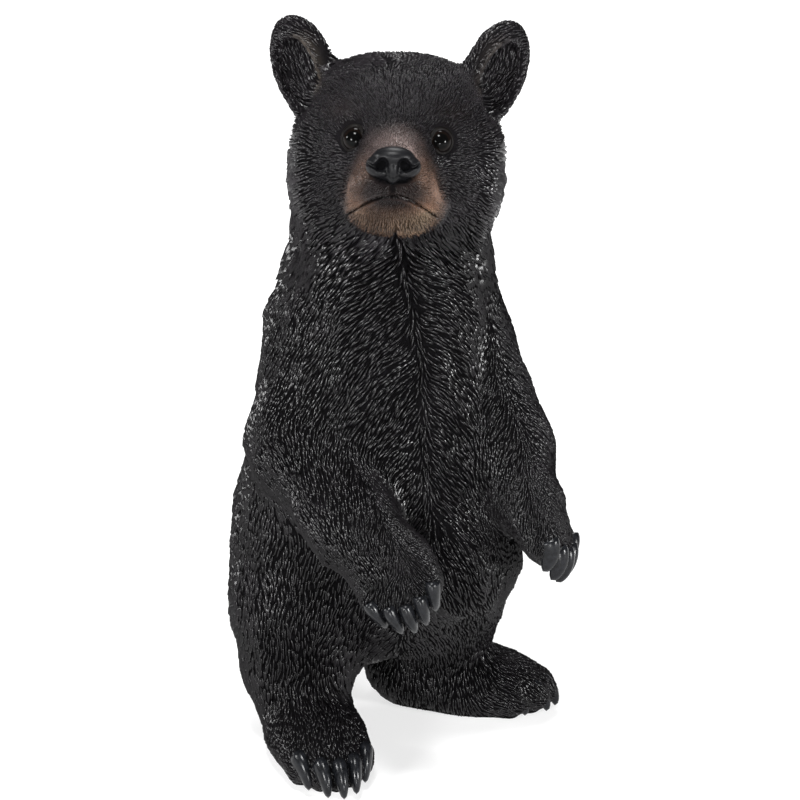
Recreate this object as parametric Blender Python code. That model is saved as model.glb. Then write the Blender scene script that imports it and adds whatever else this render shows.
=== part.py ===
"""Standing bear cub, a cast garden statue with inset glass eyes.

Metres, +Z up. The cub faces -Y and stands on its own two soles, with the origin
on the ground under the middle of its outline. The casting is sculpted as a
block of clay: rounded forms are blended into one field of distances, which is
drawn as a mesh, thinned, given claws and eye sockets, and flat under the soles.
"""

import math

import bmesh
import bpy
import numpy as np
from mathutils import Matrix, Vector

STATUE_HEIGHT = 0.450
EYE_DIAMETER = 0.0145
EYE_GAP = 0.0003
EYE_SET = 0.25
FORE_CLAW_LENGTH = 0.0200
HIND_CLAW_LENGTH = 0.0215
CLAW_WIDTH = 0.0078

# The forms are written in parts of the height, so that they keep their proportions.
# The ears' tips reach this many parts, and a part is close to a millimetre.
PARTS_IN_HEIGHT = 444.4
PART = STATUE_HEIGHT / PARTS_IN_HEIGHT

GRID_STEP = 1.7
FAR = 40.0
CASTING_FACES = 6300
CREASE_ANGLE = 50
FOOT_TOES = 10.5
FOOT_ARCH = 0.036
PAW_TOES = 9.7
PAW_ARCH = 0.020
CLAW_FAN = -0.75
CLAW_SIDES = 8
CLAW_RINGS = 4
EYE_SEGMENTS = 20
EYE_RINGS = 12

RESIN = (0.020, 0.019, 0.021)
EYE_BLACK = (0.004, 0.004, 0.005)


class Frame:
    """A place to model in, with its own x to the cub's left, y to its back and z up."""

    def __init__(self, origin, axes):
        self.origin = np.array(origin, float)
        self.axes = np.array(axes, float)

    def point(self, x, y, z):
        return self.origin + self.axes @ np.array((x, y, z), float)

    def inner(self, origin, axes):
        return Frame(self.point(*origin), self.axes @ np.array(axes, float))


def turned(yaw=0.0, pitch=0.0, roll=0.0):
    """Axes turned about Z by yaw, then nose up by pitch, then left side down by roll, in degrees."""
    turn = Matrix.Rotation(math.radians(yaw), 3, "Z")
    turn = turn @ Matrix.Rotation(math.radians(-pitch), 3, "X")
    return np.array(turn @ Matrix.Rotation(math.radians(roll), 3, "Y"))


def aimed(reach, front):
    """Axes whose y runs against reach and whose z is as near to front as it can be."""
    back = -Vector(reach).normalized()
    up = Vector(front) - Vector(front).dot(back) * back
    up.normalize()
    return np.array((back.cross(up), back, up)).T


WORLD = Frame((0, 0, 0), np.eye(3))
HEAD = Frame((2.5, -6, 377), turned(yaw=-14, pitch=15, roll=1.5))
MUZZLE = HEAD.inner((-1.8, 0, 0), np.eye(3))
RIGHT_FOOT = Frame((-57, -19, 0), turned(yaw=2))
LEFT_FOOT = Frame((36, 23, 0), turned(yaw=64))
RIGHT_PAW = Frame((-20, -93, 142), aimed((0.21, -0.48, -0.86), (-0.35, -0.85, 0.39)))
LEFT_PAW = Frame((71, -79, 158), aimed((0.24, -0.50, -0.83), (0.80, -0.46, 0.38)))


def ball(frame, at, radii, axes=None):
    """An ellipsoid as (distance function, lowest corner, highest corner)."""
    centre = frame.point(*at)
    turn = frame.axes if axes is None else frame.axes @ np.array(axes, float)
    radii = np.array(radii, float)
    reach = np.sqrt(((turn * radii) ** 2).sum(1))

    def distance(x, y, z):
        off = (x - centre[0], y - centre[1], z - centre[2])
        own = [sum(off[j] * turn[j, i] for j in range(3)) for i in range(3)]
        near = np.sqrt(sum((own[i] / radii[i]) ** 2 for i in range(3)))
        slope = np.sqrt(sum((own[i] / radii[i] ** 2) ** 2 for i in range(3)))
        return near * (near - 1) / np.maximum(slope, 1e-6)

    return distance, centre - reach, centre + reach


def limb(frame, stations, blend=6.0):
    """A tapering round limb through stations of (x, y, z, radius), as ball gives it."""
    ends = [(frame.point(*s[:3]), s[3]) for s in stations]
    low = np.min([p - r for p, r in ends], axis=0)
    high = np.max([p + r for p, r in ends], axis=0)

    def distance(x, y, z):
        best = None
        for (a, ra), (b, rb) in zip(ends, ends[1:]):
            along = b - a
            off = (x - a[0], y - a[1], z - a[2])
            t = np.clip(sum(off[i] * along[i] for i in range(3)) / (along @ along), 0, 1)
            gap = np.sqrt(sum((off[i] - t * along[i]) ** 2 for i in range(3)))
            piece = gap - (ra + t * (rb - ra))
            best = piece if best is None else smooth_min(best, piece, blend)
        return best

    return distance, low, high


def trunk(stations):
    """An upright mass through oval sections of (z, x, y, half width, half depth)."""
    keys = np.array(stations, float)
    low = np.array(((keys[:, 1] - keys[:, 3]).min(), (keys[:, 2] - keys[:, 4]).min(), keys[0, 0]))
    high = np.array(((keys[:, 1] + keys[:, 3]).max(), (keys[:, 2] + keys[:, 4]).max(), keys[-1, 0]))

    def distance(x, y, z):
        x0, y0, wide, deep = smooth_keys(keys, z)
        near = np.sqrt(((x - x0) / wide) ** 2 + ((y - y0) / deep) ** 2)
        side = (near - 1) * np.minimum(wide, deep)
        return np.maximum(side, np.maximum(keys[0, 0] - z, z - keys[-1, 0]))

    return distance, low, high


def smooth_keys(keys, z):
    """The sections' four numbers at each height, along a smooth curve through the stations."""
    heights = np.unique(z)
    slopes = np.gradient(keys[:, 1:], keys[:, 0], axis=0)
    i = np.clip(np.searchsorted(keys[:, 0], heights) - 1, 0, len(keys) - 2)
    step = (keys[i + 1, 0] - keys[i, 0])[:, None]
    t = np.clip((heights - keys[i, 0])[:, None] / step, 0, 1)
    curve = (
        (2 * t**3 - 3 * t**2 + 1) * keys[i, 1:]
        + (t**3 - 2 * t**2 + t) * step * slopes[i]
        + (3 * t**2 - 2 * t**3) * keys[i + 1, 1:]
        + (t**3 - t**2) * step * slopes[i + 1]
    )
    return np.moveaxis(curve[np.searchsorted(heights, z)], -1, 0)


def smooth_min(a, b, blend):
    """The smaller of two distances, rounded where they are within blend of each other."""
    near = np.maximum(blend - np.abs(a - b), 0) / blend
    return np.minimum(a, b) - near * near * blend / 4


class Clay:
    """A block of clay: the distance to the sculpted surface at each point of a grid."""

    def __init__(self, low, high, step):
        self.low = np.array(low, float)
        self.step = step
        counts = np.ceil((np.array(high) - self.low) / step).astype(int) + 1
        self.axes = [self.low[i] + step * np.arange(counts[i]) for i in range(3)]
        self.field = np.full(counts, FAR, np.float32)

    def window(self, form, blend):
        """The part of the grid near a form, and the form's distance there."""
        distance, low, high = form
        margin = 1.6 * blend + 3 * self.step
        cut = []
        for i in range(3):
            first = np.searchsorted(self.axes[i], low[i] - margin)
            last = np.searchsorted(self.axes[i], high[i] + margin)
            cut.append(slice(first, max(last, first + 1)))
        spans = (self.axes[i][cut[i]] for i in range(3))
        return tuple(cut), distance(*np.meshgrid(*spans, indexing="ij", sparse=True))

    def add(self, form, blend=8.0):
        cut, distance = self.window(form, blend)
        self.field[cut] = smooth_min(self.field[cut], distance, blend)

    def carve(self, form, blend=3.0):
        cut, distance = self.window(form, blend)
        self.field[cut] = -smooth_min(-self.field[cut], distance, blend)

    def hit(self, start, ahead):
        """The first point where a straight line from start enters the clay."""
        for far in np.arange(0, 150, 0.25):
            at = start + far * np.array(ahead)
            if self.reading(at) < 0:
                return at
        raise ValueError("the line misses the clay")

    def reading(self, at):
        """The distance at one point, between the grid's points."""
        place = (np.array(at) - self.low) / self.step
        place = np.clip(place, 0, np.array(self.field.shape) - 1.01)
        corner = np.floor(place).astype(int)
        part = place - corner
        block = self.field[tuple(slice(c, c + 2) for c in corner)]
        for share in part:
            block = block[0] * (1 - share) + block[1] * share
        return float(block)

    def slope(self, at):
        """The outward direction at a point on the surface."""
        reach = 2 * self.step * np.eye(3)
        rise = np.array([self.reading(at + step) - self.reading(at - step) for step in reach])
        return rise / np.linalg.norm(rise)

    def soften(self):
        """Rounds whatever is finer than the grid can draw cleanly."""
        for axis in range(3):
            ends = [(1, 1) if i == axis else (0, 0) for i in range(3)]
            wide = np.pad(self.field, ends, mode="edge")
            count = self.field.shape[axis]
            left, middle, right = (np.take(wide, range(i, i + count), axis) for i in range(3))
            self.field = (left + 2 * middle + right) / 4

    def part_corners(self):
        """Turns the faintest corner of a grid square whose corners alternate, so that no edges touch."""
        for _ in range(8):
            turned_any = False
            for axis in range(3):
                sides = [i for i in range(3) if i != axis]
                offsets = [(0, 0), (0, 1), (1, 1), (1, 0)]
                corners = []
                for offset in offsets:
                    cut = [slice(None)] * 3
                    for side, start in zip(sides, offset):
                        cut[side] = slice(start, self.field.shape[side] - 1 + start)
                    corners.append(self.field[tuple(cut)])
                inside = [corner < 0 for corner in corners]
                mixed = (inside[0] == inside[2]) & (inside[1] == inside[3]) & (inside[0] != inside[1])
                for at in np.argwhere(mixed):
                    faintest = min(range(4), key=lambda i: abs(corners[i][tuple(at)]))
                    corners[faintest][tuple(at)] *= -1
                    turned_any = True
            if not turned_any:
                return

    def surface(self):
        """Points and four-sided faces where the field is zero, with one point in each crossed cell."""
        crossed = []
        places = []
        for axis in range(3):
            first = np.take(self.field, range(self.field.shape[axis] - 1), axis)
            second = np.take(self.field, range(1, self.field.shape[axis]), axis)
            at = np.argwhere((first < 0) != (second < 0))
            a = first[tuple(at.T)]
            b = second[tuple(at.T)]
            place = at.astype(float)
            place[:, axis] += a / (a - b)
            ring = np.repeat(at[:, None, :], 4, axis=1)
            ring[:, (0, 3), (axis + 1) % 3] -= 1
            ring[:, (0, 1), (axis + 2) % 3] -= 1
            ring[a >= 0] = ring[a >= 0][:, ::-1]
            crossed.append(ring.reshape(-1, 3))
            places.append(np.repeat(place, 4, axis=0))
        names = np.ravel_multi_index(np.concatenate(crossed).T, self.field.shape)
        _, owners = np.unique(names, return_inverse=True)
        places = np.concatenate(places)
        count = np.bincount(owners)
        middle = np.stack([np.bincount(owners, places[:, i]) / count for i in range(3)], 1)
        return self.low + middle * self.step, owners.reshape(-1, 4)


def sculpt_body(clay):
    clay.add(trunk((
        (43, -14, 30, 44, 36),
        (60, -14, 25, 62, 48),
        (85, -13, 19, 74, 59),
        (120, -13, 12, 80, 66),
        (160, -12, 8, 79, 68),
        (200, -8, 5, 74, 66),
        (240, -5, 4, 68, 62),
        (280, -3, 3, 64, 55),
        (320, 1, 3, 55, 50),
        (345, 2, 2, 50, 48),
    )), 10)
    clay.add(ball(WORLD, (1, 20, 334), (45, 38, 44)), 16)
    clay.add(ball(WORLD, (-12, 82, 66), (14, 14, 18), turned(pitch=-25)), 16)


def sculpt_hind_leg(clay, foot, stations):
    clay.add(limb(WORLD, stations, 16), 14)
    clay.add(ball(foot, (0, 16, 24), (28, 32, 31)), 8)
    clay.add(ball(foot, (-1, -22, 15.5), (31, 49, 23.5)), 10)
    for toe in range(5):
        across = (toe - 2) * FOOT_TOES
        clay.add(ball(foot, (across, -66 + FOOT_ARCH * across**2, 12.5), (7.2, 13, 12.5)), 3.5)


def sculpt_arm(clay, paw, stations):
    clay.add(limb(WORLD, stations, 14), 12)
    clay.add(ball(paw, (0, 2, 0), (25.5, 28, 16)), 8)
    for toe in range(5):
        across = (toe - 2) * PAW_TOES
        clay.add(ball(paw, (across, -17 + PAW_ARCH * across**2, 1), (6.8, 11, 10.5)), 4)


def sculpt_head(clay):
    clay.add(ball(HEAD, (0, 4, 4), (58, 55, 49.5)), 14)
    clay.add(ball(HEAD, (0, -22, 12), (42, 27, 27)), 14)
    for side in (-1, 1):
        clay.add(ball(HEAD, (side * 32, -4, -22), (26.5, 40, 34)), 12)
        clay.add(ball(HEAD, (side * 24, -29, -2), (16, 14, 14)), 14)
        sculpt_ear(clay, side)
    clay.add(limb(MUZZLE, ((0, -26, -12, 28), (0, -58, -16, 21), (0, -76, -18, 16))), 12)
    clay.add(ball(HEAD, (0, -43, -40), (30, 33, 14.5)), 8)
    clay.add(ball(MUZZLE, (0, -66, -27), (15, 22, 10)), 6)
    for side in (-1, 1):
        clay.add(ball(MUZZLE, (side * 11, -61, -29), (15, 24, 11.5)), 7)
    sculpt_nose(clay)
    sculpt_mouth(clay)


def sculpt_nose(clay):
    clay.add(ball(MUZZLE, (0, -89, -11), (16, 7.5, 7.5)), 1.5)
    for side in (-1, 1):
        clay.add(ball(MUZZLE, (side * 9.4, -89.5, -15.8), (7, 7, 6.8)), 1.5)
    clay.add(ball(MUZZLE, (0, -90, -19), (6, 6, 5.5)), 1.5)
    for side in (-1, 1):
        clay.carve(limb(MUZZLE, ((side * 6.2, -97.5, -14.8, 3.6), (side * 14.5, -94, -17.5, 1.8))), 1)


def sculpt_ear(clay, side):
    ear = HEAD.inner((side * 55.5, 14, 40), turned(yaw=side * 10, roll=side * 21))
    clay.add(ball(ear, (0, 0, 0), (19.3, 9, 34)), 8)
    clay.carve(ball(ear, (side * 2, -11, -2), (12.5, 14, 25)), 3)


def sculpt_mouth(clay):
    """A crease that follows the muzzle's surface from under the nose down to each corner."""
    for side in (-1, 1):
        line = []
        for x, z in ((0, -32.5), (8, -33.5), (15, -36.5), (20, -39.5), (24, -42.5)):
            at = clay.hit(MUZZLE.point(side * x, -120, z), MUZZLE.axes[:, 1])
            line.append((*at, 1.9))
        clay.carve(limb(WORLD, line), 1)


def sculpt_fur(clay):
    """Locks of fur that show from a step away: the ruff, the collar, the back and the outer legs."""
    for side in (-1, 1):
        for row in range(3):
            for place in range(5):
                at = HEAD.point(side * 100, -22 + 16 * row, 4 - 13 * place - 5 * (row % 2))
                flow = HEAD.axes @ np.array((side * 0.2, 0.5, -0.8))
                lay_lock(clay, at, -side * HEAD.axes[:, 0], flow, 12, 2.8)
    for row in range(11):
        height = 331 - 25 * row
        for place in range(16):
            turn = 2 * math.pi * (place + 0.5 * (row % 2)) / 16
            out = np.array((math.sin(turn), -math.cos(turn), 0))
            across = np.array((math.cos(turn), math.sin(turn), 0))
            part = 0.75 * math.exp(-((math.sin(turn) / 0.5) ** 2)) * (out[1] < 0)
            flow = across * math.copysign(part, math.sin(turn)) - np.array((0, 0, 1))
            lay_lock(clay, out * 140 + (0, 8, height), -out, flow, 15, 2.4)


def lay_lock(clay, start, ahead, flow, length, lift):
    """A lock of fur lying on the surface along flow, with its free end lifted."""
    at = clay.hit(start, ahead)
    out = clay.slope(at)
    if out @ ahead > -0.6:
        return
    along = flow - (flow @ out) * out
    along = along / np.linalg.norm(along)
    lean = along + 0.06 * out
    lean = lean / np.linalg.norm(lean)
    axes = aimed(-lean, out)
    clay.add(ball(WORLD, at - 0.6 * out, (5.2, length, lift), axes), 3)


def claw_row(foot, spread, arch, front, top, length, starts, ends):
    """Five curved claws along a foot's toes, which stand in an arch."""
    horns = []
    for toe in range(5):
        across = (toe - 2) * spread
        base = (across, front + arch * across**2, top)
        toed = foot.inner(base, turned(yaw=CLAW_FAN * across))
        horns.append(horn(toed, length / PART, CLAW_WIDTH / PART, starts, ends))
    return horns


def horn(frame, length, width, starts, ends):
    """A tapering curved horn as (points, faces), bent from starts to ends in degrees below -y."""
    points = []
    faces = []
    at = np.zeros(3)
    for ring in range(CLAW_RINGS + 1):
        t = ring / CLAW_RINGS
        lean = math.radians(starts + t * (ends - starts))
        ahead = np.array((0, -math.cos(lean), -math.sin(lean)))
        above = np.array((0, -math.sin(lean), math.cos(lean)))
        if ring == CLAW_RINGS:
            points.append(frame.point(*at))
            break
        thick = width / 2 * (1 - t) ** 0.42
        for side in range(CLAW_SIDES):
            turn = 2 * math.pi * side / CLAW_SIDES
            rim = math.cos(turn) * np.array((1, 0, 0)) + 1.25 * math.sin(turn) * above
            points.append(frame.point(*(at + thick * rim)))
        at = at + ahead * length / CLAW_RINGS
    for ring in range(CLAW_RINGS - 1):
        for side in range(CLAW_SIDES):
            a = ring * CLAW_SIDES + side
            b = ring * CLAW_SIDES + (side + 1) % CLAW_SIDES
            faces.append((a, b, b + CLAW_SIDES, a + CLAW_SIDES))
    last = (CLAW_RINGS - 1) * CLAW_SIDES
    for side in range(CLAW_SIDES):
        faces.append((last + side, last + (side + 1) % CLAW_SIDES, len(points) - 1))
    faces.append(tuple(range(CLAW_SIDES))[::-1])
    return points, faces


def new_object(name, shells, material=None):
    """An object from closed shells of (points, faces) given in parts."""
    points = []
    faces = []
    for shell_points, shell_faces in shells:
        faces.extend(tuple(i + len(points) for i in face) for face in shell_faces)
        points.extend(tuple(PART * c for c in point) for point in shell_points)
    mesh = bpy.data.meshes.new(name)
    mesh.from_pydata(points, [], faces)
    mesh.update()
    face_outward(mesh)
    thing = bpy.data.objects.new(name, mesh)
    bpy.context.scene.collection.objects.link(thing)
    if material:
        mesh.materials.append(material)
    return thing


def face_outward(mesh):
    shape = bmesh.new()
    shape.from_mesh(mesh)
    bmesh.ops.recalc_face_normals(shape, faces=shape.faces)
    shape.to_mesh(mesh)
    shape.free()


def sphere(centre, radius):
    """A round shell of (points, faces)."""
    shape = bmesh.new()
    bmesh.ops.create_uvsphere(
        shape, u_segments=EYE_SEGMENTS, v_segments=EYE_RINGS, radius=radius
    )
    points = [np.array(v.co) + centre for v in shape.verts]
    faces = [[v.index for v in face.verts] for face in shape.faces]
    shape.free()
    return points, faces


def cutter(name, shells):
    """A helper that only shapes the casting."""
    thing = new_object(name, shells)
    thing.hide_render = True
    thing.display_type = "WIRE"
    return thing


def join(body, name, other, operation):
    step = body.modifiers.new(name, "BOOLEAN")
    step.operation = operation
    step.solver = "EXACT"
    step.object = other


def resin(name, colour, roughness):
    made = bpy.data.materials.new(name)
    made.use_nodes = True
    shader = made.node_tree.nodes["Principled BSDF"]
    shader.inputs["Base Color"].default_value = (*colour, 1)
    shader.inputs["Roughness"].default_value = roughness
    shader.inputs["Metallic"].default_value = 0
    return made


def eye_place(clay, side):
    """Where an eye's middle goes: just behind the face's surface."""
    start = HEAD.point(side * 23.6, -90, -1.0)
    return clay.hit(start, HEAD.axes[:, 1]) + HEAD.axes[:, 1] * EYE_SET * EYE_DIAMETER / PART


def build():
    for old in list(bpy.data.objects):
        bpy.data.objects.remove(old)
    clay = Clay((-125, -140, -14), (130, 115, 462), GRID_STEP)
    sculpt_body(clay)
    sculpt_hind_leg(clay, RIGHT_FOOT, (
        (-50, 10, 130, 42),
        (-59, -2, 92, 38),
        (-60, 0, 48, 36),
    ))
    sculpt_hind_leg(clay, LEFT_FOOT, (
        (16, 4, 118, 44),
        (29, -34, 128, 39),
        (37, 14, 58, 33),
    ))
    sculpt_arm(clay, RIGHT_PAW, (
        (-50, 4, 264, 24),
        (-62, -20, 200, 27),
        (-41, -66, 167, 25),
        (-30, -83, 152, 22),
    ))
    sculpt_arm(clay, LEFT_PAW, (
        (46, 2, 264, 24),
        (61, -34, 192, 27),
        (64, -64, 170, 22),
    ))
    sculpt_head(clay)
    sculpt_fur(clay)
    clay.soften()
    clay.part_corners()
    eyes = {"right_eye": eye_place(clay, -1), "left_eye": eye_place(clay, 1)}
    fur = resin("Painted resin", RESIN, 0.42)
    black = resin("Eye glass", EYE_BLACK, 0.06)
    body = new_object("cub_casting", [clay.surface()], fur)
    thin = body.modifiers.new("Fewer faces", "DECIMATE")
    thin.ratio = CASTING_FACES / (2 * len(body.data.polygons))
    claws = claw_row(RIGHT_FOOT, FOOT_TOES, FOOT_ARCH, -71, 20, HIND_CLAW_LENGTH, 20, 85)
    claws += claw_row(LEFT_FOOT, FOOT_TOES, FOOT_ARCH, -66, 20, HIND_CLAW_LENGTH, 30, 95)
    for paw in (RIGHT_PAW, LEFT_PAW):
        claws += claw_row(paw, PAW_TOES, PAW_ARCH, -19, 6.5, FORE_CLAW_LENGTH, 6, 66)
    join(body, "Claws", cutter("claw_forms", claws), "UNION")
    sockets = [sphere(at, (EYE_DIAMETER / 2 + EYE_GAP) / PART) for at in eyes.values()]
    join(body, "Eye sockets", cutter("socket_forms", sockets), "DIFFERENCE")
    ground = new_box((-300, -300, -100), (300, 300, 0))
    join(body, "Flat soles", cutter("ground_form", [ground]), "DIFFERENCE")
    things = [body]
    for name, at in eyes.items():
        things.append(new_object(name, [sphere(at, EYE_DIAMETER / 2 / PART)], black))
    settle(body)
    centre(things)
    for thing in things:
        thing.data.shade_smooth()
        thing.data.set_sharp_from_angle(angle=math.radians(CREASE_ANGLE))


def settle(body):
    """Keeps the finished mesh in place of the steps that made it."""
    bpy.context.view_layer.update()
    finished = body.evaluated_get(bpy.context.evaluated_depsgraph_get())
    mesh = bpy.data.meshes.new_from_object(finished)
    body.modifiers.clear()
    body.data = mesh
    for thing in list(bpy.data.objects):
        if thing.hide_render:
            bpy.data.objects.remove(thing)


def centre(things):
    """Moves everything sideways so that the middle of the whole outline is over the origin."""
    points = np.array([v.co for thing in things for v in thing.data.vertices])
    middle = (points.min(0) + points.max(0)) / 2
    for thing in things:
        thing.data.transform(Matrix.Translation((-middle[0], -middle[1], 0)))


def new_box(low, high):
    sides = list(zip(low, high))
    points = [(x, y, z) for x in sides[0] for y in sides[1] for z in sides[2]]
    faces = [(0, 1, 3, 2), (4, 6, 7, 5), (0, 4, 5, 1), (2, 3, 7, 6), (0, 2, 6, 4), (1, 5, 7, 3)]
    return points, faces


build()
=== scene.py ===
"""Looks of the standing bear cub garden statue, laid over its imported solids.

The casting is redrawn as a finer skin with lips and hollow ears, and its fur
is laid on as thousands of separate modelled strokes that follow the coat from
the nose over the head and down the limbs. The nose, claws, eyes and eyelids
are pieces of their own. Lengths that follow the sculpture are in parts, as in
the part's source: a part is close to a millimetre.
"""

import itertools
import math
from collections import namedtuple

import bmesh
import bpy
import numpy as np
from bpy.props import FloatProperty, FloatVectorProperty, IntProperty, PointerProperty
from mathutils import Matrix, Vector, noise
from mathutils.bvhtree import BVHTree


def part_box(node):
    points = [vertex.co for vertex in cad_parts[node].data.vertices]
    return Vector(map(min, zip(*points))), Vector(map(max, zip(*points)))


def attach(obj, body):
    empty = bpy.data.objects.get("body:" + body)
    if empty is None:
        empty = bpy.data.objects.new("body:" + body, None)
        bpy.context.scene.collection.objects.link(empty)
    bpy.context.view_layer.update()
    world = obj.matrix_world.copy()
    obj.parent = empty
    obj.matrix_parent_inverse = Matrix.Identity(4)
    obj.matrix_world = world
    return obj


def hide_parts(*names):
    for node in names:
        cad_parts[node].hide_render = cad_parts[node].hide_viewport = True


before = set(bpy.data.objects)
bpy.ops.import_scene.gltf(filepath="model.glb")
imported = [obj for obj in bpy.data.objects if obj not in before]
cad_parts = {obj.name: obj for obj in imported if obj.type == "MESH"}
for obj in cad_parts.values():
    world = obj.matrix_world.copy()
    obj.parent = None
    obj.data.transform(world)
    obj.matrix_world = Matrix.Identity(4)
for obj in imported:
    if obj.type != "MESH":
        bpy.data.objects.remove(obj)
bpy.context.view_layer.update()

bl_info = {
    "name": "Bear cub statue looks",
    "version": (1, 0, 0),
    "blender": (4, 5, 0),
    "location": "3D View > Sidebar > Bear cub",
    "description": "Dresses the cast bear cub with sculpted fur, claws, eyes and paint",
    "category": "Object",
}

# The sculpture's own measure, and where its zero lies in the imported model.
PART = 0.450 / 444.4
SHIFT = np.array((-0.0033271, 0.0090922, 0.0))

BODY = "root"


class Frame:
    """A place to model in, in parts, with its own x to the cub's left, y to its back and z up."""

    def __init__(self, origin, axes):
        self.origin = np.array(origin, float)
        self.axes = np.array(axes, float)

    def out(self, points):
        return self.origin + np.asarray(points, float) @ self.axes.T

    def into(self, points):
        return (np.asarray(points, float) - self.origin) @ self.axes

    def inner(self, origin, axes):
        return Frame(self.out(origin), self.axes @ np.array(axes, float))


def turned(yaw=0.0, pitch=0.0, roll=0.0):
    """Axes turned about Z by yaw, then nose up by pitch, then left side down by roll, in degrees."""
    turn = Matrix.Rotation(math.radians(yaw), 3, "Z")
    turn = turn @ Matrix.Rotation(math.radians(-pitch), 3, "X")
    return np.array(turn @ Matrix.Rotation(math.radians(roll), 3, "Y"))


def aimed(reach, front):
    """Axes whose y runs against reach and whose z is as near to front as it can be."""
    back = -Vector(reach).normalized()
    up = Vector(front) - Vector(front).dot(back) * back
    up.normalize()
    return np.array((back.cross(up), back, up)).T


HEAD = Frame((2.5, -6, 377), turned(yaw=-14, pitch=15, roll=1.5))
MUZZLE = HEAD.inner((-1.8, 0, 0), np.eye(3))
RIGHT_FOOT = Frame((-57, -19, 0), turned(yaw=2))
LEFT_FOOT = Frame((36, 23, 0), turned(yaw=64))
RIGHT_PAW = Frame((-20, -93, 142), aimed((0.21, -0.48, -0.86), (-0.35, -0.85, 0.39)))
LEFT_PAW = Frame((71, -79, 158), aimed((0.24, -0.50, -0.83), (0.80, -0.46, 0.38)))
EARS = {side: HEAD.inner((side * 55.5, 14, 40), turned(yaw=side * 10, roll=side * 21)) for side in (-1, 1)}


def to_parts(metres):
    return (np.asarray(metres, float) - SHIFT) / PART


def to_metres(parts):
    return np.asarray(parts, float) * PART + SHIFT


def eye_balls():
    """The two inset eyes as (side, centre in parts, radius in parts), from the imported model."""
    found = []
    for side, node in ((-1, "right_eye"), (1, "left_eye")):
        low, high = (np.array(corner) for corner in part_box(node))
        found.append((side, to_parts((low + high) / 2), (high - low).mean() / 2 / PART))
    return found


EYES = eye_balls()

# The coat's partings and the middles of the limbs, as lines of (x, y, z) in parts.
CHEST_PARTING = ((-6, -47, 330), (-4.8, -48, 314), (-3, -49, 301), (1.4, -52, 285), (3.9, -54, 267),
                 (5.5, -56, 249), (5.5, -60, 228), (6.3, -60, 204), (7.6, -60, 150), (0, -50, 90))
RIGHT_ARM = ((-50, 4, 276), (-62, -20, 200), (-41, -66, 167), (-20, -93, 142), (-12, -115, 100))
LEFT_ARM = ((46, 2, 276), (61, -34, 192), (64, -64, 170), (71, -79, 158), (83, -104, 116))
RIGHT_ARM_PARTING = ((-44, -30, 290), (-44, -42, 273), (-44, -47, 235), (-42, -53, 216), (-32, -67, 194),
                     (-27, -85, 180), (-20, -100, 162), (-10, -128, 108))
LEFT_ARM_PARTING = ((55, -28, 262), (57, -42, 234), (63, -51, 219), (68, -70, 194), (66, -90, 178),
                    (72, -97, 160), (92, -110, 120))
RIGHT_LEG = ((-50, 10, 150), (-59, -2, 92), (-60, 0, 48), (-58, -4, 24))
LEFT_LEG = ((20, -4, 150), (29, -20, 118), (37, 14, 58), (37, 20, 24))
KNEE = np.array((35.6, -56, 172.0))

# The right half of the mouth's crease from the front, as (outward, up) from the muzzle's middle.
MOUTH = np.array(((0, -32.3), (4, -32.5), (8, -33.6), (12, -35.2), (16, -37.4), (20, -40.0), (24.5, -43.0)))


def smooth(value, low, high):
    """0 below low, 1 above high, and a smooth step between."""
    t = np.clip((np.asarray(value, float) - low) / (high - low), 0, 1)
    return t * t * (3 - 2 * t)


def bump(distance, width):
    return np.exp(-((np.asarray(distance, float) / width) ** 2))


def unit(vectors):
    vectors = np.asarray(vectors, float)
    return vectors / np.maximum(np.linalg.norm(vectors, axis=-1, keepdims=True), 1e-9)


def lay_flat(directions, normals):
    """The directions with what points out of the surface taken away."""
    return unit(directions - (directions * normals).sum(-1, keepdims=True) * normals)


def columns(x, y, z):
    """Rows of (x, y, z) from three columns, any of which may be a single number."""
    return np.stack(np.broadcast_arrays(x, y, z), axis=1)


def along_line(points, line):
    """Each point's distance to a line of stations, the nearest point on it and its direction there."""
    line = np.array(line, float)
    best = np.full(len(points), np.inf)
    near = np.zeros((len(points), line.shape[1]))
    ahead = np.zeros((len(points), line.shape[1]))
    for a, b in zip(line, line[1:]):
        run = b - a
        t = np.clip((points - a) @ run / (run @ run), 0, 1)
        at = a + t[:, None] * run
        gap = np.linalg.norm(points - at, axis=1)
        closer = gap < best
        best[closer] = gap[closer]
        near[closer] = at[closer]
        ahead[closer] = run / np.linalg.norm(run)
    return best, near, ahead


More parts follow.
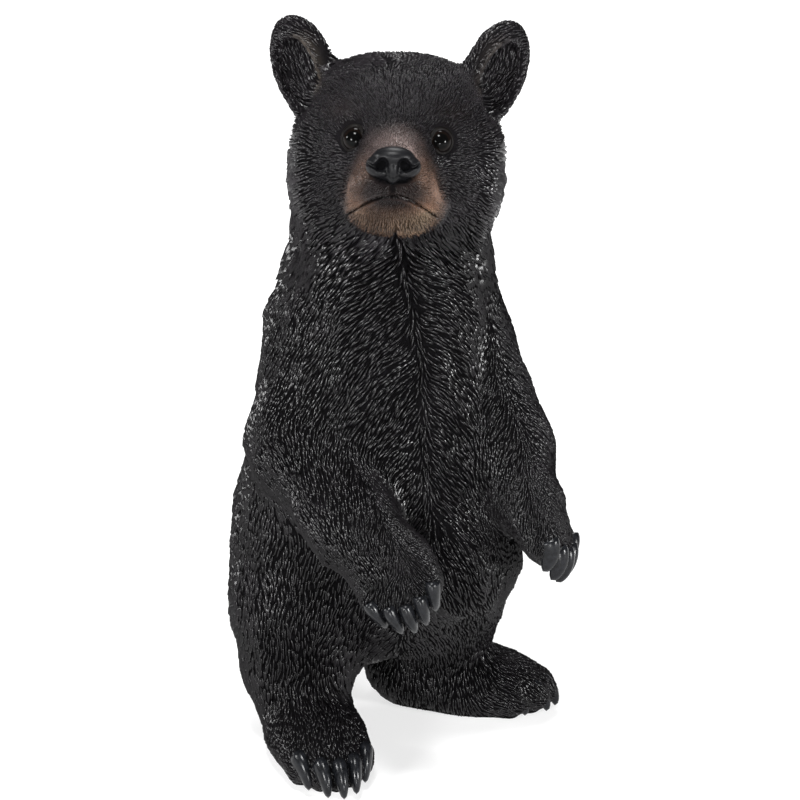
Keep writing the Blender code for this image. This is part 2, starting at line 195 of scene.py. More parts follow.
class Coat:
    """What the paint and the fur are at points on the surface, given in parts."""

    def __init__(self, points, normals):
        self.points = points
        self.normals = normals
        self.head = HEAD.into(points)
        self.face = MUZZLE.into(points)
        self.mouth = self.mouth_distance()
        self.lids = np.min([np.linalg.norm(points - at, axis=1) - radius for _, at, radius in EYES], axis=0)

    def mouth_distance(self):
        """Distance to the mouth's crease seen from the front, and far where it can't reach."""
        flat = np.stack((np.abs(self.face[:, 0]), self.face[:, 2]), axis=1)
        gap, _, _ = along_line(flat, MOUTH)
        return np.where(self.head[:, 1] < -40, gap, 99.0)

    def nose(self):
        """1 on the bare nose leather, 0 on the fur around it."""
        x, y, z = self.face.T
        shape = np.sqrt((x / 18) ** 2 + ((z + 14.5) / 11.5) ** 2 + ((y + 90) / 9.5) ** 2)
        under = smooth(np.abs(x), 1.8, 0.8) * smooth(z, -31, -29) * smooth(z, -19, -21) * smooth(y, -78, -81)
        return np.maximum(smooth(shape, 1.03, 0.97), 0.7 * under)

    def muzzle(self):
        """How brown the paint is: the muzzle's sides and lips most, the bridge and chin less, with painted
        sheen partly brightening the bridge, painted light on the cub's left side and painted shade on its
        right.
        """
        x, y, z = self.face.T
        side = np.abs(x)
        width = np.interp(z, (-56, -50, -40, -30, -20, -8, 2, 9), (10, 21, 26, 26, 21, 14, 10, 5))
        shape = smooth(side, width + 7, width - 8) * smooth(y, -40, -60) * smooth(z, 10, -2)
        shape = shape * smooth(z, -58, -48)
        under_nose = np.clip(1.7 * bump(side, 19) * bump(z + 29, 9.5), 0, 1) * smooth(y, -66, -76)
        flank = bump(side - 21, 10) * bump(z + 32, 13)
        chin = smooth(z, -34, -40) * smooth(side, 26, 18)
        # The bridge's extra strength is partly painted sheen.
        strength = 0.50 + 0.50 * flank + 0.10 * chin + 0.24 * smooth(z, -22, -8)
        # Painted light and shade: up to 30% lighter on the cub's left side of the muzzle and up to 30% darker
        # on its right.
        strength = strength * (1 + 0.30 * smooth(x, -10, 10) - 0.30 * smooth(x, 10, -10))
        return shape * strength * (1 - 0.90 * under_nose)

    def brow(self):
        """Faint brown patches over the eyes."""
        x, _, z = self.head.T
        return bump(np.abs(x) - 30, 9) * bump(z - 14, 6) * (self.head[:, 1] < -5)

    def ear_inside(self):
        """(hollow, strip): the hollow of each ear, where the skin is carved in and the paint darkened as
        painted shade, and the paler fur at its inner edge.
        """
        hollow = np.zeros(len(self.points))
        strip = np.zeros(len(self.points))
        for side, ear in EARS.items():
            x, y, z = ear.into(self.points).T
            front = smooth(y, 2, -3) * smooth(np.abs(z), 36, 30) * smooth(np.abs(x), 21, 17)
            inner = -side * x
            hollow = np.maximum(hollow, front * smooth(np.hypot((inner + 3) / 10, (z + 3) / 25), 1.10, 0.75))
            share = 0.8 if side < 0 else 0.3
            edge = share * bump(inner - 7, 4.5) * smooth(z, -24, -12) * smooth(z, 22, 8)
            strip = np.maximum(strip, front * edge)
        return hollow, strip

    def sole(self):
        """1 on the flat soles and close to the ground."""
        return smooth(self.points[:, 2], 3.0, 1.0)

    def regions(self):
        """Shares of the body's regions: head, ears, arms, legs, feet, paws and trunk."""
        gaps = {
            "head": np.linalg.norm(self.head / (62, 62, 60), axis=1) * 60 - 60,
            "right_arm": along_line(self.points, RIGHT_ARM)[0] - 26,
            "left_arm": along_line(self.points, LEFT_ARM)[0] - 24,
            "right_leg": along_line(self.points, RIGHT_LEG)[0] - 40,
            "left_leg": along_line(self.points, LEFT_LEG)[0] - 40,
        }
        muzzle = along_line(self.head, ((0, -20, -18), (0, -88, -20)))[0] - 24
        gaps["head"] = np.minimum(gaps["head"], muzzle)
        for name, foot in (("right_foot", RIGHT_FOOT), ("left_foot", LEFT_FOOT)):
            gaps[name] = along_line(foot.into(self.points), ((0, 16, 20), (0, -62, 12)))[0] - 26
        for side, name in ((-1, "right_ear"), (1, "left_ear")):
            ear = EARS[side].into(self.points)
            gap = (np.linalg.norm(ear / (19.3, 9, 34), axis=1) - 1) * 14
            gaps[name] = gap + 2 * smooth(ear[:, 2], -20, -30)
        x, y, z = self.points.T
        wide = np.interp(z, (43, 85, 160, 240, 345), (50, 74, 79, 68, 50))
        deep = np.interp(z, (43, 85, 160, 240, 345), (44, 60, 68, 62, 48))
        gaps["trunk"] = (np.hypot((x + 8) / wide, (y - 6) / deep) - 1) * 0.8 * deep + smooth(z, 325, 350) * 12
        shares = {name: np.exp(-np.clip(gap + 4, 0, None) / 3.5) + 1e-9 for name, gap in gaps.items()}
        total = sum(shares.values())
        return {name: share / total for name, share in shares.items()}

    def parting(self):
        """1 along the lines from which the fur falls away to both sides."""
        lines = (CHEST_PARTING, RIGHT_ARM_PARTING, LEFT_ARM_PARTING)
        gap = np.min([along_line(self.points, line)[0] for line in lines], axis=0)
        return bump(gap, 5) * (self.points[:, 1] < 10)

    def flow(self):
        """The way the fur lies."""
        shares = self.regions()
        lie = {
            "head": self.head_flow(),
            "trunk": self.trunk_flow(),
            "right_arm": self.limb_flow(RIGHT_ARM, RIGHT_ARM_PARTING, 16),
            "left_arm": self.limb_flow(LEFT_ARM, LEFT_ARM_PARTING, 14),
            "right_leg": self.leg_flow(RIGHT_LEG, RIGHT_FOOT),
            "left_leg": self.leg_flow(LEFT_LEG, LEFT_FOOT),
            "right_foot": self.foot_flow(RIGHT_FOOT),
            "left_foot": self.foot_flow(LEFT_FOOT),
            "right_ear": self.ear_flow(-1),
            "left_ear": self.ear_flow(1),
        }
        blend = sum(shares[name][:, None] * lay_flat(lie[name], self.normals) for name in lie)
        return lay_flat(blend, self.normals)

    def head_flow(self):
        x, y, z = self.head.T
        away = unit(self.head - (0, -98, -22)) * (1, 1, 1.25)
        behind = smooth(y, -6, 30)[:, None]
        cheek = (smooth(z, 4, -24) * smooth(np.abs(x), 18, 40) * smooth(y, -52, -30))[:, None]
        down = columns(0.15 * np.sign(x), 0.25, -1)
        outward = columns(0.9 * np.sign(x), 0.5, -0.75)
        lie = away * (1 - behind) + down * behind
        lie = lie * (1 - 0.75 * cheek) + outward * 0.75 * cheek
        chin = (smooth(z, -38, -50) * smooth(y, -20, -40))[:, None]
        under = columns(0.25 * np.sign(x), 0.8, -0.5)
        lie = lie * (1 - chin) + under * chin
        return unit(lie) @ HEAD.axes.T

    def trunk_flow(self):
        _, near, _ = along_line(self.points, CHEST_PARTING)
        off = self.points[:, 0] - near[:, 0]
        front = smooth(self.points[:, 1], 10, -30)
        part = front * np.sign(off) * (0.50 + 0.75 * bump(off, 30)) * smooth(np.abs(off), 0, 6)
        part = part * np.interp(self.points[:, 2], (140, 230, 285, 330), (0.45, 0.80, 1.35, 1.8))
        back = smooth(self.points[:, 1], 20, 50) * -0.12 * np.sign(self.points[:, 0] + 6)
        return unit(columns(part + back, 0, -1))

    def limb_flow(self, line, parting, reach):
        _, _, ahead = along_line(self.points, line)
        _, near, _ = along_line(self.points, parting)
        off = self.points - near
        across = lay_flat(off, self.normals)
        gap = np.linalg.norm(off, axis=1)
        strength = (0.3 + 0.60 * bump(gap, reach)) * smooth(gap, 0, 8) * smooth(gap, 70, 30)
        return unit(ahead + strength[:, None] * across)

    def leg_flow(self, line, foot):
        _, _, ahead = along_line(self.points, line)
        front = foot.into(self.points)[:, 1]
        lie = ahead + np.array((0, 0, -0.4))
        if foot is LEFT_FOOT:
            off = self.points - KNEE
            near = bump(np.linalg.norm(off, axis=1), 30)[:, None]
            lie = unit(lie) * (1 - near) + 1.6 * near * lay_flat(off, self.normals)
        swing = (bump(front + 30, 25) * 0.2)[:, None] * -foot.axes[:, 1]
        return unit(lie + swing)

    def foot_flow(self, foot):
        x, y, _ = foot.into(self.points).T
        toes = smooth(y, 20, -20)
        lie = columns(0.10 * np.sign(x), -0.25 - toes, -0.75 + 0.25 * toes)
        return unit(lie) @ foot.axes.T

    def ear_flow(self, side):
        x, y, _ = EARS[side].into(self.points).T
        inside = smooth(y, 0, -4)
        outward = 0.55 * x / 19 + inside * side * 0.9 * smooth(np.abs(x), 19, 8)
        lie = columns(outward, 0, 0.8)
        return unit(lie) @ EARS[side].axes.T

    def base_paint(self, paint):
        """The resin's colour as linear red, green and blue, before strokes and noise, with painted shade in
        the ears' hollows and along the mouth's crease and painted sheen on the bridge.
        """
        black = np.array(paint.resin_black)
        brown = np.array(paint.muzzle_brown)
        strip_brown = np.array(paint.ear_brown)
        muzzle = self.muzzle()[:, None]
        hollow, strip = self.ear_inside()
        colour = black * (1 + 1.4 * smooth(self.points[:, 2], 318, 342))[:, None]
        colour = colour + (0.020 * self.brow()[:, None]) * (brown - colour)
        # A greyer brown on the bridge, partly the paint and partly painted sheen.
        bridge = (smooth(self.face[:, 2], -22, -8) * smooth(np.abs(self.face[:, 0]), 22, 10))[:, None]
        brown = brown + bridge * (np.array(paint.bridge_brown_and_sheen) - brown)
        colour = colour + muzzle * (brown - colour)
        chin = (smooth(self.face[:, 2], -36, -42) * muzzle[:, 0])[:, None]
        colour = colour * (1 - chin * np.array((0.30, 0.12, 0.10)))
        colour = colour + (0.8 * strip[:, None]) * (strip_brown - colour)
        # Painted shade in the ears' hollows, where the paler strip is not.
        colour = colour * (1 - 0.85 * hollow * (1 - strip))[:, None]
        nose = self.nose()[:, None]
        colour = colour + nose * (np.array(paint.nose_black) - colour)
        # Painted shade along the mouth's crease.
        colour = colour * (1 - 0.85 * bump(self.mouth, 1.1) * (self.mouth < 50))[:, None]
        return colour


def length_setting(name, description, default, low, high):
    """A length in metres."""
    return FloatProperty(
        name=name, description=description, default=default, min=low, max=high,
        unit="LENGTH", subtype="DISTANCE")


def colour_setting(name, description, default):
    """A linear colour."""
    return FloatVectorProperty(
        name=name, description=description, default=default, min=0, max=1, subtype="COLOR")


class FurSizes(bpy.types.PropertyGroup):
    """Sizes of the modelled strokes of fur."""

    stroke_width: length_setting(
        "Stroke width", "Width of a stroke of fur on the body", 0.00165, 0.0005, 0.006)
    stroke_length: length_setting(
        "Stroke length", "Length of a stroke of fur on the body", 0.0118, 0.002, 0.03)
    stroke_height: length_setting(
        "Stroke height", "How far a stroke's ridge stands above the skin", 0.00160, 0.0002, 0.004)
    pitch: length_setting(
        "Pitch", "Distance across the lie between neighbouring strokes on the body", 0.00106, 0.0005, 0.01)
    waviness: FloatProperty(
        name="Waviness", description="How far the strokes stray from the lie of the coat",
        default=0.24, min=0.0, max=1.0, subtype="FACTOR")
    seed: IntProperty(name="Seed", description="Start of the random numbers", default=11, min=0)


class PaintColours(bpy.types.PropertyGroup):
    """Colours of the painted resin, nose and claws."""

    resin_black: colour_setting("Resin black", "Main colour of the coat", (0.0032, 0.0028, 0.0032))
    muzzle_brown: colour_setting("Muzzle brown", "Painted brown of the muzzle", (0.144, 0.082, 0.054))
    # Partly the bridge's paint and partly painted sheen.
    bridge_brown_and_sheen: colour_setting(
        "Bridge brown", "Greyer brown along the bridge of the muzzle", (0.135, 0.100, 0.092))
    ear_brown: colour_setting("Ear brown", "Paler fur at the ears' inner edges", (0.060, 0.050, 0.040))
    nose_black: colour_setting("Nose black", "Colour of the bare nose", (0.0030, 0.0030, 0.0036))
    claw_grey: colour_setting("Claw grey", "Colour of the claws", (0.0045, 0.0048, 0.0058))


class StageSizes(bpy.types.PropertyGroup):
    """Floor, lights and camera."""

    floor_size: length_setting("Floor size", "Length of the pale floor's sides", 60.0, 2, 100)
    lamp_power: FloatProperty(
        name="Lamp power", description="Watts of which each lamp has its share", default=66.0, min=0)
    lens: FloatProperty(
        name="Lens", description="Focal length of the camera", default=119.466, min=20, max=300,
        unit="CAMERA")


def settings():
    scene = bpy.context.scene
    return scene.cub_fur, scene.cub_paint, scene.cub_stage


def link(thing):
    bpy.context.scene.collection.objects.link(thing)
    return thing


def new_piece(name, points, faces, material):
    """A shaded smooth object from points in metres."""
    mesh = bpy.data.meshes.new(name)
    mesh.from_pydata([tuple(p) for p in points], [], faces)
    mesh.update()
    mesh.materials.append(material)
    thing = link(bpy.data.objects.new(name, mesh))
    mesh.shade_smooth()
    return thing


def mesh_arrays(mesh):
    """A mesh's points and the normals there."""
    points = np.empty(3 * len(mesh.vertices))
    normals = np.empty(3 * len(mesh.vertices))
    mesh.vertices.foreach_get("co", points)
    mesh.vertex_normals.foreach_get("vector", normals)
    return points.reshape(-1, 3), normals.reshape(-1, 3)


def coat_of(mesh):
    """A mesh's points in metres, the normals there and the coat there."""
    points, normals = mesh_arrays(mesh)
    return points, normals, Coat(to_parts(points), normals)


def set_points(mesh, points):
    mesh.vertices.foreach_set("co", np.asarray(points, float).ravel())
    mesh.update()


def evaluated_copy(thing, name):
    """The object's mesh with its modifiers applied, as a mesh of its own."""
    bpy.context.view_layer.update()
    finished = thing.evaluated_get(bpy.context.evaluated_depsgraph_get())
    mesh = bpy.data.meshes.new_from_object(finished)
    mesh.name = name
    return mesh


def neighbour_mean(points, edges):
    """Each point's mean neighbour."""
    total = np.zeros_like(points)
    np.add.at(total, edges[:, 0], points[edges[:, 1]])
    np.add.at(total, edges[:, 1], points[edges[:, 0]])
    count = np.bincount(edges.ravel(), minlength=len(points))
    return total / np.maximum(count, 1)[:, None]


def relax(mesh, rounds, share):
    """Smooths the points, each by its share, in and then out again so that the form keeps its size."""
    points, _ = mesh_arrays(mesh)
    edges = np.empty(2 * len(mesh.edges), int)
    mesh.edges.foreach_get("vertices", edges)
    edges = edges.reshape(-1, 2)
    for _ in range(rounds):
        for step in (0.60, -0.58):
            points = points + (step * share)[:, None] * (neighbour_mean(points, edges) - points)
    set_points(mesh, points)


def paint_attribute(mesh, colours, gloss):
    """Stores a linear colour and a gloss on each point, for the resin's material to read."""
    layer = mesh.color_attributes.new("Paint", "FLOAT_COLOR", "POINT")
    values = np.empty((len(mesh.vertices), 4))
    values[:, :3] = colours
    values[:, 3] = gloss
    layer.data.foreach_set("color", values.ravel())


# Size of the skin's grid in metres, and the height in parts at which head and body divide.
SKIN_GRID = 0.0019
HEAD_FROM = 322

# How far the skin is carved in, and the lips out, in parts.
FUR_GROUND = 1.0
EAR_HOLLOW = 3.0
CROWN_TRIM = 2.4
MOUTH_CREASE = 1.7
LIP_SWELL = 0.45
MOUTH_CORNER = 0.9
LIP_GROOVE = 0.9
NOSE_SEAT = 3.6


class CUB_OT_skin(bpy.types.Operator):
    """Redraw the casting as a fine skin with lips and hollow ears"""

    bl_idname = "cub.skin"
    bl_label = "Make the skin"

    def execute(self, context):
        _, paint, _ = settings()
        mesh = self.fine_mesh(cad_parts["cub_casting"])
        self.divide_face(mesh)
        self.carve(mesh)
        _, _, coat = coat_of(mesh)
        wet = bump(coat.mouth - 1.6, 1.2) * (coat.mouth < 50)
        # The skin is painted at 0.4 of the coat's colour, as painted shade in the grooves between the
        # strokes; the lips keep their full colour.
        ground = coat.base_paint(paint) * (0.40 + 0.60 * np.clip(wet, 0, 1))[:, None]
        paint_attribute(mesh, ground, 0.05 + 0.7 * wet)
        head = coat.points[:, 2] > HEAD_FROM
        for name, keep in (("head_skin", head), ("body_skin", ~head)):
            piece = self.part_of(mesh, keep, name)
            piece.data.materials.append(once("Shaded resin", make_ground))
            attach(piece, BODY)
            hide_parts("cub_casting")
        bpy.data.meshes.remove(mesh)
        return {"FINISHED"}

    def fine_mesh(self, node):
        helper = link(bpy.data.objects.new("skin_helper", node.data.copy()))
        shape = bmesh.new()
        shape.from_mesh(helper.data)
        bmesh.ops.remove_doubles(shape, verts=shape.verts, dist=2e-6)
        shape.to_mesh(helper.data)
        shape.free()
        rounder = helper.modifiers.new("Round", "SUBSURF")
        rounder.levels = 1
        fine = helper.modifiers.new("Fine", "REMESH")
        fine.mode = "VOXEL"
        fine.voxel_size = SKIN_GRID
        mesh = evaluated_copy(helper, "skin")
        bpy.data.objects.remove(helper)
        mesh.materials.clear()
        _, _, coat = coat_of(mesh)
        sharp = np.maximum(bump(coat.lids, 4) * (coat.lids < 6), bump(coat.mouth, 3) * (coat.mouth < 50))
        relax(mesh, 7, (1 - 0.8 * sharp) * (1 - 0.7 * coat.nose()))
        points, _ = mesh_arrays(mesh)
        points[:, 2] = np.maximum(points[:, 2], 0)
        set_points(mesh, points)
        return mesh

    def divide_face(self, mesh):
        """Quarters the faces round the eyes, nose and mouth, and those of the finest features again."""
        for reach in (1, 2):
            _, _, coat = coat_of(mesh)
            if reach == 1:
                chosen = (coat.head[:, 1] < -46) & (np.abs(coat.head[:, 0]) < 44) & (coat.head[:, 2] < 10)
                chosen |= coat.lids < 7
            else:
                chosen = (coat.mouth < 5) | (coat.nose() > 0.02) | (coat.lids < 2.8)
            shape = bmesh.new()
            shape.from_mesh(mesh)
            shape.verts.ensure_lookup_table()
            picked = {shape.verts[i] for i in np.flatnonzero(chosen)}
            edges = [edge for edge in shape.edges if edge.verts[0] in picked and edge.verts[1] in picked]
            bmesh.ops.subdivide_edges(shape, edges=edges, cuts=1, use_grid_fill=True)
            shape.to_mesh(mesh)
            shape.free()
            mesh.update()
            _, _, coat = coat_of(mesh)
            near = (coat.head[:, 1] < -38) | (coat.lids < 10)
            relax(mesh, 2, near * 0.9)

    def carve(self, mesh):
        """Moves points along their normals: fur ground, crown, ear hollows, mouth, lips and nose seat."""
        points, normals, coat = coat_of(mesh)
        x, y, z = coat.face.T
        bare = np.maximum.reduce((coat.nose(), bump(coat.lids, 2.5) * (coat.lids < 6), coat.sole()))
        hollow, _ = coat.ear_inside()
        lift = -FUR_GROUND * (1 - bare) - EAR_HOLLOW * hollow
        across, back, up = coat.head.T
        lift -= CROWN_TRIM * smooth(up, 42, 54) * bump(across, 26) * bump(back, 40)
        lift -= MOUTH_CREASE * bump(coat.mouth, 0.85)
        lift += LIP_SWELL * bump(coat.mouth - 2.0, 1.0) * (z > -50)
        corner = np.hypot(np.abs(x) - 25, z + 43.4)
        lift -= MOUTH_CORNER * bump(corner, 2.2) * (y < -40)
        lift -= LIP_GROOVE * bump(x, 0.9) * smooth(z, -33, -30) * smooth(z, -18.5, -21) * (y < -76)
        lift -= NOSE_SEAT * coat.nose() * (z > -26)
        points = points + (lift * PART)[:, None] * normals
        points[:, 2] = np.maximum(points[:, 2], 0)
        set_points(mesh, points)

    def part_of(self, mesh, keep, name):
        shape = bmesh.new()
        shape.from_mesh(mesh)
        shape.verts.ensure_lookup_table()
        shape.faces.ensure_lookup_table()
        out = [face for face in shape.faces if not keep[face.verts[0].index]]
        bmesh.ops.delete(shape, geom=out, context="FACES")
        cut = bpy.data.meshes.new(name)
        shape.to_mesh(cut)
        shape.free()
        cut.shade_smooth()
        return link(bpy.data.objects.new(name, cut))


def surface_tree(*things):
    """One tree of the objects' faces, and their points and triangles in metres."""
    points = []
    triangles = []
    count = 0
    for thing in things:
        mesh = thing.data
        own, _ = mesh_arrays(mesh)
        mesh.calc_loop_triangles()
        corners = np.empty(3 * len(mesh.loop_triangles), int)
        mesh.loop_triangles.foreach_get("vertices", corners)
        points.append(own)
        triangles.append(corners.reshape(-1, 3) + count)
        count += len(own)
    points = np.concatenate(points)
    triangles = np.concatenate(triangles)
    tree = BVHTree.FromPolygons(points.tolist(), triangles.tolist())
    return tree, points, triangles


# A stroke's eight points: root, two rings of left edge, right edge and ridge, and tip.
STROKE_STATIONS = (0.0, 0.30, 0.68, 1.0)
STROKE_FACES = np.array(
    ((0, 1, 3), (0, 3, 2), (0, 2, 1),
     (1, 4, 6), (1, 6, 3), (3, 6, 5), (3, 5, 2), (2, 5, 4), (2, 4, 1),
     (4, 7, 6), (6, 7, 5), (5, 7, 4)))
# Each point's paint multiplier: painted shade at the root and along the sunken edges, and ridges and tip
# painted lighter, partly as dry-brushed paint and partly as painted highlight; then each point's gloss.
STROKE_SHADE_AND_HIGHLIGHT = np.array((0.25, 0.35, 0.35, 1.2, 0.40, 0.40, 1.5, 1.4))
STROKE_GLOSS = (0.2, 0.6, 0.6, 1, 0.6, 0.6, 1, 0.9)


# Tries for a root in each stroke's room, and the share of its length between one stroke and the next.
TRIES = 3.4
STEP_ALONG = 0.47

# Lowest root in parts, lowest stroke in metres, and where chest and back begin in parts.
LOWEST_ROOT = 4.5
LOWEST_STROKE = 0.0001
CHEST_FROM = 180
BACK_FROM = 20


class CUB_OT_fur(bpy.types.Operator):
    """Lay the strokes of fur over the skin"""

    bl_idname = "cub.fur"
    bl_label = "Lay the fur"

    def execute(self, context):
        sizes, paint, _ = settings()
        skins = [bpy.data.objects[name] for name in ("head_skin", "body_skin")]
        tree, points, triangles = surface_tree(*skins)
        draw = np.random.default_rng(sizes.seed)
        roots = self.scatter(points, triangles, sizes, draw)
        self.lay(tree, roots, sizes, paint, draw)
        return {"FINISHED"}

    def fineness(self, coat):
        """The share of the body's stroke size that the fur has at each point."""
        x, y, z = coat.head.T
        shares = coat.regions()
        head = shares["head"] + shares["left_ear"] + shares["right_ear"]
        face = smooth(y, 6, -26) * smooth(z, -62, -48) * smooth(np.abs(x), 56, 40)
        fine = 1 - head * (0.25 + 0.22 * face)
        fine = fine * (1 - 0.30 * head * smooth(y, -46, -64))
        arms = shares["left_arm"] + shares["right_arm"]
        paws = shares["right_foot"] + shares["left_foot"]
        for paw in (RIGHT_PAW, LEFT_PAW):
            paws = paws + smooth(np.linalg.norm(paw.into(coat.points), axis=1), 50, 28)
        fine = fine * (1 - 0.12 * arms - 0.12 * coat.parting())
        fine = fine + 0.85 * self.ruff(coat) * np.clip(1.05 - fine, 0, 1)
        return fine * (1 - 0.30 * np.clip(paws, 0, 1))

    def bald(self, coat):
        """Where no stroke may start."""
        low = coat.points[:, 2] < LOWEST_ROOT
        return (coat.nose() > 0.05) | (coat.lids < 2.0) | (coat.mouth < 0.9) | low

    def scatter(self, points, triangles, sizes, draw):
        """Start points in metres, with room between them along and across the lie of the fur."""
        a, b, c = (points[triangles[:, i]] for i in range(3))
        area = np.linalg.norm(np.cross(b - a, c - a), axis=1) / 2
        normals = unit(np.cross(b - a, c - a))
        coat = Coat(to_parts((a + b + c) / 3), normals)
        fine = self.fineness(coat)
        along = STEP_ALONG * sizes.stroke_length * fine ** 1.1 * (1 - 0.30 * coat.parting())
        across = sizes.pitch * fine
        area[self.bald(coat)] = 0
        wanted = TRIES * area / (along * across)
        number = np.floor(wanted + draw.random(len(wanted))).astype(int)
        owner = draw.permutation(np.repeat(np.arange(len(triangles)), number))
        u, v = draw.random((2, len(owner)))
        over = u + v > 1
        u[over] = 1 - u[over]
        v[over] = 1 - v[over]
        at = a[owner] + u[:, None] * (b - a)[owner] + v[:, None] * (c - a)[owner]
        return self.spread(at, coat.flow()[owner], along[owner], across[owner])

    def spread(self, at, lie, along, across):
        """Keeps each point with no kept point in the oval round it, long along the lie."""
        cell = float(along.max())
        kept = {}
        chosen = []
        rows = zip(np.floor(at / cell).astype(int).tolist(), at.tolist(), lie.tolist(),
                   (1 / along ** 2).tolist(), (1 / across ** 2).tolist())
        near = list(itertools.product((-1, 0, 1), repeat=3))
        for number, ((i, j, k), (x, y, z), (lx, ly, lz), long, wide) in enumerate(rows):
            free = True
            for di, dj, dk in near:
                for ox, oy, oz in kept.get((i + di, j + dj, k + dk), ()):
                    ox -= x
                    oy -= y
                    oz -= z
                    ahead = ox * lx + oy * ly + oz * lz
                    ahead *= ahead
                    if ahead * long + (ox * ox + oy * oy + oz * oz - ahead) * wide < 1:
                        free = False
                        break
                if not free:
                    break
            if free:
                kept.setdefault((i, j, k), []).append((x, y, z))
                chosen.append(number)
        return at[chosen]

    def on_skin(self, tree, places):
        """The nearest points on the skin in metres, and the normals there."""
        found = [tree.find_nearest(Vector(place)) for place in places]
        return np.array([hit[0] for hit in found]), np.array([hit[1] for hit in found])

    def wander(self, parts):
        """A slow sideways swing of the coat and a quicker one, from -1 to 1."""
        slow = np.array([noise.noise(Vector(p) / 21.0) for p in parts])
        quick = np.array([noise.noise(Vector(p) / 8.0 + Vector((7, 3, 5))) for p in parts])
        return slow, quick

    def lay(self, tree, roots, sizes, paint, draw):
        at, normals = self.on_skin(tree, roots)
        coat = Coat(to_parts(at), normals)
        fine = self.fineness(coat)
        count = len(at)
        long = sizes.stroke_length * fine ** 1.1 * draw.uniform(0.72, 1.15, count)
        wide = sizes.stroke_width * fine * draw.uniform(0.82, 1.2, count)
        high = sizes.stroke_height * fine ** 0.75 * draw.uniform(0.7, 1.3, count)
        slow, quick = self.wander(coat.points)
        swing = sizes.waviness * (1.3 * slow + 1.2 * quick) + draw.normal(0, 0.07, count)
        ruff = self.ruff(coat)
        high = high * (1 + 1.3 * ruff) * (0.2 + 0.8 * smooth(coat.points[:, 2], 4, 22))
        wide = wide * (1 + 0.30 * ruff)
        long = long * (1 + 0.12 * ruff)
        spots = [at]
        ups = [normals]
        bend = draw.normal(0, 0.16, count) + 0.5 * quick * sizes.waviness
        for start, end in zip(STROKE_STATIONS, STROKE_STATIONS[1:]):
            here = Coat(to_parts(spots[-1]), ups[-1])
            lie = here.flow()
            side = np.cross(ups[-1], lie)
            angle = swing + bend * (end - 0.4)
            step = lie * np.cos(angle)[:, None] + side * np.sin(angle)[:, None]
            spot, up = self.on_skin(tree, spots[-1] + step * (long * (end - start))[:, None])
            spots.append(spot)
            ups.append(up)
        self.build(coat, spots, ups, wide, high, ruff, paint, draw)

    def ruff(self, coat):
        """1 on the cheeks' ruff and the neck, where the locks stand out."""
        x, y, z = coat.head.T
        cheek = smooth(np.abs(x), 36, 50) * smooth(z, 20, -4) * smooth(z, -85, -70) * smooth(y, 50, 30)
        neck = smooth(coat.points[:, 2], 300, 318) * smooth(z, -40, -52) * smooth(y, 60, 40)
        return np.clip(cheek * smooth(y, -40, -25) + 0.8 * neck, 0, 1)

    def build(self, coat, spots, ups, wide, high, ruff, paint, draw):
        """Closed strokes, sorted into pieces by the region they lie on."""
        count = len(wide)
        heads = [unit(b - a) for a, b in zip(spots, spots[1:])]
        heads.append(heads[-1])
        widths = (0, 0.90, 1.0, 0)
        ridges = (-0.40, 0.80, 0.95, 0.15 + 0.8 * ruff)
        grounds = (-0.5, -0.60, -0.50, 0)
        rows = []
        for i, (spot, up, ahead) in enumerate(zip(spots, ups, heads)):
            side = unit(np.cross(up, ahead))
            ridge = spot + (high * ridges[i])[:, None] * up
            if i in (0, 3):
                rows.append([ridge])
                continue
            half = (wide * widths[i] / 2)[:, None]
            low = (high * grounds[i])[:, None] * up
            rows.append([spot - half * side + low, spot + half * side + low, ridge])
        points = np.stack([place for row in rows for place in row], axis=1)
        points[:, :, 2] = np.maximum(points[:, :, 2], LOWEST_STROKE)
        ground = coat.base_paint(paint)
        patches = np.clip(self.wander(coat.points)[0] * 1.5, -0.6, 1)
        tone = draw.uniform(0.55, 1.50, count) * (1 + 0.3 * patches)
        tone = tone + 0.6 * coat.muzzle() * (1 - tone)
        colour = ground * tone[:, None]
        groups = self.groups(coat)
        for name in sorted(set(groups)):
            mine = np.flatnonzero(groups == name)
            self.piece(name, points[mine], colour[mine])

    def groups(self, coat):
        shares = coat.regions()
        names = np.array(sorted(shares))
        best = names[np.argmax([shares[n] for n in names], axis=0)]
        owner = {
            "head": "head_fur", "left_ear": "head_fur", "right_ear": "head_fur",
            "right_arm": "right_arm_fur", "left_arm": "left_arm_fur",
            "right_leg": "right_leg_fur", "right_foot": "right_leg_fur",
            "left_leg": "left_leg_fur", "left_foot": "left_leg_fur",
        }
        found = np.array([owner.get(name, "trunk_fur") for name in best], dtype=object)
        high = coat.points[:, 2] > CHEST_FROM
        back = coat.points[:, 1] > BACK_FROM
        found[(found == "trunk_fur") & high] = "chest_fur"
        found[np.isin(found, ("trunk_fur", "chest_fur")) & back] = "back_fur"
        nape = (found == "head_fur") & (coat.head[:, 1] > 0)
        found[nape] = "nape_fur"
        return found

    def piece(self, name, points, colours):
        count, each = points.shape[:2]
        corners = (STROKE_FACES[None] + each * np.arange(count)[:, None, None]).reshape(-1, 3)
        mesh = bpy.data.meshes.new(name)
        mesh.vertices.add(count * each)
        mesh.vertices.foreach_set("co", points.reshape(-1))
        mesh.loops.add(corners.size)
        mesh.loops.foreach_set("vertex_index", corners.ravel())
        mesh.polygons.add(len(corners))
        mesh.polygons.foreach_set("loop_start", np.arange(0, corners.size, 3))
        mesh.update(calc_edges=True)
        mesh.validate()
        mesh.shade_smooth()
        shade_and_highlight_paint = (colours[:, None, :] * STROKE_SHADE_AND_HIGHLIGHT[None, :, None]).reshape(-1, 3)
        paint_attribute(mesh, shade_and_highlight_paint, np.tile(STROKE_GLOSS, count))
        thing = link(bpy.data.objects.new(name, mesh))
        mesh.materials.append(once("Painted resin coat", make_resin))
        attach(thing, BODY)
        print(name, "triangles", len(mesh.polygons))


